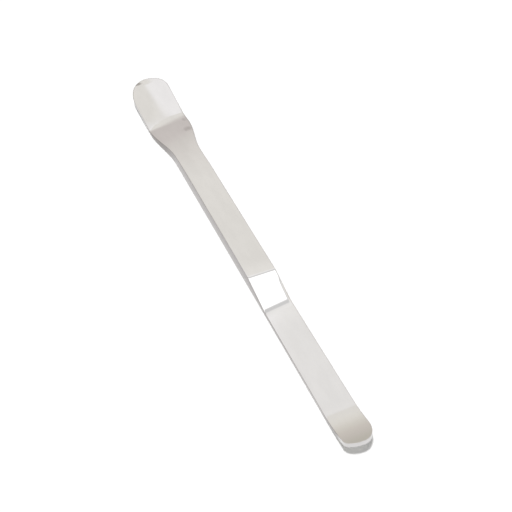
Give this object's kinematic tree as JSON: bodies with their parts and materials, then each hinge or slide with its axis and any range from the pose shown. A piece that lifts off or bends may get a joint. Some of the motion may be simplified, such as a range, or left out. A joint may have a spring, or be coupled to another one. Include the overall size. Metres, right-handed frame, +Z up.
{
  "type": "lab spatula",
  "caption": "Double-ended steel laboratory spatula with a flat handle, a thin blade turned up at its round tip, and a shallow trough-shaped scoop.",
  "frame": {"origin": "on the table under the middle of the tool's length, on its middle line", "axes": "+X along the tool towards the flat blade's tip, +Y across it, +Z up from the table"},
  "size_m": [0.15, 0.0126, 0.004],
  "materials": {
    "steel": "satin ground faces, polished ramp and edges"
  },
  "bodies": {
    "root": {"spatula": "steel"}
  },
  "joints": []
}
